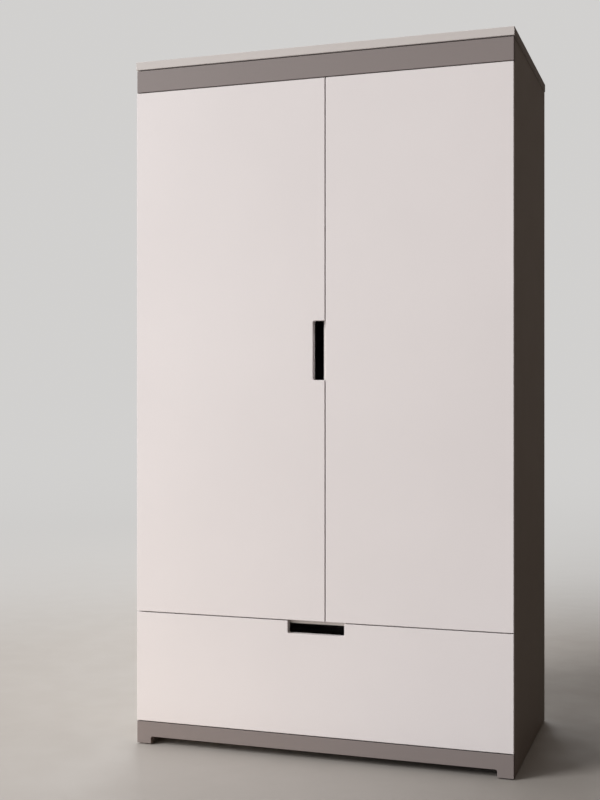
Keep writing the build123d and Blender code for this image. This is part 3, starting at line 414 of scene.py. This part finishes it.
def material_for(node):
    """The node's material, which boards of one finish and direction share."""
    slot = slot_of[node]
    if slot in OTHER_FINISH:
        return OTHER_FINISH[slot]
    axis = thin_axis(node)
    notch = NOTCHED.get(node)
    own = node in NOTCHED or node in OWN_BAND
    key = f"{slot}_{'xyz'[axis]}" + (f"_{node}" if own else "")
    if key not in board_cache:
        finish = {**BOARD_FINISH[slot], **OWN_BAND.get(node, {})}
        board_cache[key] = board_material(key, axis, notch=notch, **finish)
    return board_cache[key]


for name, piece in nodes.items():
    material = material_for(name)
    for material_slot in piece.material_slots:
        material_slot.material = material

# ---------------------------------------------------------------- small fixings made here
def turned_piece(name, seats, profile, body, segments=16):
    """One mesh of equal round pieces: profile is (radius, height) pairs along each seat's direction."""
    mesh = bmesh.new()
    for place, direction in seats:
        turn = Vector((0, 0, 1)).rotation_difference(Vector(direction)).to_matrix()
        rings = []
        for radius, height in profile:
            corners = [Vector((radius * math.cos(a), radius * math.sin(a), height))
                       for a in (2 * math.pi * i / segments for i in range(segments))]
            rings.append([mesh.verts.new(Vector(place) + turn @ corner) for corner in corners])
        for lower, upper in zip(rings, rings[1:]):
            for i in range(segments):
                j = (i + 1) % segments
                mesh.faces.new((lower[i], lower[j], upper[j], upper[i]))
        mesh.faces.new(list(reversed(rings[0])))
        mesh.faces.new(rings[-1])
    data = bpy.data.meshes.new(name)
    mesh.to_mesh(data)
    mesh.free()
    for face in data.polygons:
        face.use_smooth = len(face.vertices) == 4
    piece = bpy.data.objects.new(name, data)
    data.materials.append(OTHER_FINISH["zinc_steel"])
    bpy.context.scene.collection.objects.link(piece)
    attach(piece, body)
    return piece


# Nails hold the back panels to the rear edges of the bottom panel and the compartment floor.
NAIL_PITCH = 90 * MM
NAIL_HEAD = [(2.6 * MM, 0), (2.6 * MM, 0.35 * MM), (2.0 * MM, 0.75 * MM), (0.9 * MM, 0.95 * MM)]
NAIL_CLEAR = 4 * MM             # kept free on each side of the joint strip
back_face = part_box("left_back_panel")[1].y
strip_low, strip_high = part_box("back_joint_strip")
nail_seats = []
for board in ("bottom_panel", "compartment_floor"):
    low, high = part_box(board)
    height = (low.z + high.z) / 2
    count = int((high.x - low.x) / NAIL_PITCH)
    for i in range(count):
        x = low.x + (i + 0.5) * (high.x - low.x) / count
        if not strip_low.x - NAIL_CLEAR < x < strip_high.x + NAIL_CLEAR:
            nail_seats.append(((x, back_face, height), (0, 1, 0)))
turned_piece("back_panel_nails", nail_seats, NAIL_HEAD, "carcass")

# Two adjusting screws stand in the top of every hinge arm.
HINGES_PER_DOOR = 4
ARM_HALF = 8 * MM               # half of an arm's height
ARM_TOP_LENGTH = 58 * MM        # from the high end of an arm's top to its rear end
ARM_TOP_FALL = 3.5 * MM         # over that length
NOSE_RISE = 1.4 * MM            # of the arm's nose past the high end of its top
ADJUSTERS = (16 * MM, 44 * MM)  # behind the high end
ADJUSTER_HEAD = [(3.0 * MM, -0.4 * MM), (3.0 * MM, 0.5 * MM), (2.7 * MM, 0.8 * MM), (1.3 * MM, 0.8 * MM),
                 (1.1 * MM, 0.0)]
adjuster_seats = []
for side, node in ((-1, "left_hinge_arms"), (1, "right_hinge_arms")):
    low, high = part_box(node)
    pitch = (high.z - low.z - 2 * ARM_HALF) / (HINGES_PER_DOOR - 1)
    for hinge in range(HINGES_PER_DOOR):
        for behind in ADJUSTERS:
            x = min(abs(low.x), abs(high.x)) + NOSE_RISE + behind * ARM_TOP_FALL / ARM_TOP_LENGTH
            place = (side * x, high.y - ARM_TOP_LENGTH + behind, low.z + ARM_HALF + hinge * pitch)
            adjuster_seats.append((place, (-side, 0, 0)))
turned_piece("hinge_adjusting_screws", adjuster_seats, ADJUSTER_HEAD, "carcass")

# ---------------------------------------------------------------- rounded board edges
EDGE_ROUNDING = 0.8 * MM
EDGE_STEPS = 2
EDGE_ANGLE = math.radians(50)

for name, piece in nodes.items():
    if slot_of[name] in BOARD_FINISH:
        rounding = piece.modifiers.new("edge_rounding", "BEVEL")
        rounding.width = EDGE_ROUNDING
        rounding.segments = EDGE_STEPS
        rounding.limit_method = "ANGLE"
        rounding.angle_limit = EDGE_ANGLE
        rounding.use_clamp_overlap = True

# ---------------------------------------------------------------- stage, light and camera
# The camera sees one plain pale backdrop all round. The light that it sends out is bright and neutral
# on the wardrobe's left and dim and warm on its right. The floor looks pale to the camera on the left,
# with painted shade that darkens it towards the right, and what it bounces is warm on the left and dim
# on the right. Far out, it takes the backdrop's glow, so that it runs into it without a line.
BACKDROP = (0.640, 0.632, 0.622)
BRIGHT_SIDE = 0.66
DARK_SIDE = 0.045
OVERHEAD = 0.115                # added towards the zenith
FADE_FROM = -0.30               # x part of the direction where the fade starts
FADE_TO = 0.42
NEUTRAL_LIGHT = (1.0, 0.985, 0.97)
WARM_LIGHT = (1.0, 0.80, 0.66)
FLOOR_RADIUS = 60.0
FLOOR_SIDES = 96
SWEEP_FROM = 1.5                # the floor starts to glow this far from the wardrobe
SWEEP_TO = 30.0                 # and glows like the backdrop from here on
# painted shade: the floor the camera sees is pale on the left and darker on the right
FLOOR_LEFT = (0.50, 0.475, 0.445)   # as the camera sees it
FLOOR_RIGHT_PAINTED_SHADE = (0.215, 0.200, 0.184)
BOUNCE_LEFT = (0.64, 0.54, 0.43)    # as it lights the wardrobe
BOUNCE_RIGHT = (0.085, 0.074, 0.063)
FLOOR_SHADE_FADE = (-1.2, 1.3)            # x where each pair's fade starts and ends
BOUNCE_FADE = (-0.7, 0.5)
FLOOR_FLECK = (0.8, 0.8, 0.8)


def studio_glow(s, x_part, z_part):
    """Emission that shows the backdrop to the camera and lights the object by direction."""
    strength = s.ramp(x_part, FADE_FROM, FADE_TO, BRIGHT_SIDE, DARK_SIDE)
    strength = s.math("ADD", strength, s.math("MULTIPLY", z_part, OVERHEAD))
    lit = s.mix(s.ramp(x_part, FADE_FROM, FADE_TO), NEUTRAL_LIGHT, WARM_LIGHT)
    lit = s.mix(1.0, lit, s.grey(strength), "MULTIPLY")
    return s.mix(s.add("ShaderNodeLightPath").outputs["Is Camera Ray"], lit, BACKDROP)


def floor_material():
    """Matt pale floor with painted shade towards the right, whose look and whose bounced light have their
    own colours.
    """
    s = Shader("studio_floor")
    place = s.split(s.coords.outputs["Object"])
    # painted shade: the floor darkens from left to right as the camera sees it
    colour = s.mix(s.ramp(place[0], *FLOOR_SHADE_FADE), FLOOR_LEFT, FLOOR_RIGHT_PAINTED_SHADE)
    colour = s.mix(s.ramp(s.noise(0.8, detail=4), 0.3, 0.7, 0.0, 0.06), colour, FLOOR_FLECK)
    bounce = s.mix(s.ramp(place[0], *BOUNCE_FADE), BOUNCE_LEFT, BOUNCE_RIGHT)
    colour = s.mix(s.add("ShaderNodeLightPath").outputs["Is Camera Ray"], bounce, colour)
    s.finish(colour, s.ramp(s.noise(8, detail=4), 0.3, 0.7, 0.55, 0.68))
    length = s.add("ShaderNodeVectorMath")
    length.operation = "LENGTH"
    s.link(s.coords.outputs["Object"], length.inputs[0])
    radius = s.math("MAXIMUM", length.outputs["Value"], 0.01)
    glow = s.add("ShaderNodeEmission")
    s.link(studio_glow(s, s.math("DIVIDE", place[0], radius), 0.0), glow.inputs["Color"])
    blend = s.add("ShaderNodeMixShader")
    nearness = s.math("DIVIDE", 1.0, radius)
    s.link(s.ramp(nearness, 1 / SWEEP_TO, 1 / SWEEP_FROM, 1.0, 0.0), blend.inputs[0])
    s.link(s.bsdf.outputs["BSDF"], blend.inputs[1])
    s.link(glow.outputs["Emission"], blend.inputs[2])
    s.link(blend.outputs["Shader"], s.tree.get_output_node("ALL").inputs["Surface"])
    return s.material


floor_mesh = bpy.data.meshes.new("studio_floor")
disc = bmesh.new()
bmesh.ops.create_circle(disc, cap_ends=True, segments=FLOOR_SIDES, radius=FLOOR_RADIUS)
disc.to_mesh(floor_mesh)
disc.free()
floor = bpy.data.objects.new("studio_floor", floor_mesh)
floor.data.materials.append(floor_material())
bpy.context.scene.collection.objects.link(floor)

world = bpy.data.worlds.new("studio")
bpy.context.scene.world = world
world.use_nodes = True
sky = Shader.on_tree(world.node_tree)
direction = sky.split(sky.coords.outputs["Generated"])
sky.link(studio_glow(sky, direction[0], direction[2]),
         world.node_tree.nodes["Background"].inputs["Color"])


DAYLIGHT = (1.0, 0.975, 0.965)
PLAIN_LIGHT = (1, 1, 1)
KEY_TURN = 50.0                 # degrees to the left of the front
KEY_RISE = 29.0
KEY_SPREAD = 24.0
KEY_STRENGTH = 2.50
AIM_HEIGHT = 0.9                # of both lamps; the fill stands level with it
FILL_PLACE = (-2.4, -3.2, AIM_HEIGHT)
FILL_AIM = (-0.3, 0, AIM_HEIGHT)
FILL_SIZE = 1.6
FILL_POWER = 19
REAR_PLACE = (-1.8, 4.5, 3.0)
REAR_AIM = (0, 0, AIM_HEIGHT)
REAR_SIZE = 2.4
REAR_POWER = 60


def add_light(name, kind, strength, colour):
    """A light of Blender's own kind, linked into the scene."""
    data = bpy.data.lights.new(name, kind)
    data.energy = strength
    data.color = colour
    light = bpy.data.objects.new(name, data)
    bpy.context.scene.collection.objects.link(light)
    return light


def area_light(name, place, aim, size, power, colour):
    """A square lamp at a place, turned towards its aim."""
    light = add_light(name, "AREA", power, colour)
    light.data.shape = "SQUARE"
    light.data.size = size
    light.location = place
    light.rotation_euler = (Vector(aim) - Vector(place)).to_track_quat("-Z", "Y").to_euler()


key = add_light("key", "SUN", KEY_STRENGTH, DAYLIGHT)
key.data.angle = math.radians(KEY_SPREAD)
key.rotation_euler = (math.radians(90 - KEY_RISE), 0, math.radians(-KEY_TURN))
area_light("left_fill", FILL_PLACE, FILL_AIM, FILL_SIZE, FILL_POWER, DAYLIGHT)
area_light("rear", REAR_PLACE, REAR_AIM, REAR_SIZE, REAR_POWER, PLAIN_LIGHT)

LENS = 54.86
SENSOR_WIDTH = 36.0
VIEW_LIMIT = 200.0             # past the far side of the floor
CAMERA_AHEAD = 3.088           # from the door fronts to the camera
CAMERA_RIGHT = 0.992
CAMERA_HEIGHT = 0.961
CAMERA_TURN = 18.544           # degrees to the left of straight ahead

camera_data = bpy.data.cameras.new("camera")
camera_data.lens = LENS
camera_data.sensor_width = SENSOR_WIDTH
camera_data.clip_end = VIEW_LIMIT
camera = bpy.data.objects.new("camera", camera_data)
camera.location = (CAMERA_RIGHT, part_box("left_door")[0].y - CAMERA_AHEAD, CAMERA_HEIGHT)
camera.rotation_euler = (math.radians(90), 0, math.radians(CAMERA_TURN))
bpy.context.scene.collection.objects.link(camera)
bpy.context.scene.camera = camera
bpy.context.scene.view_settings.view_transform = "Standard"
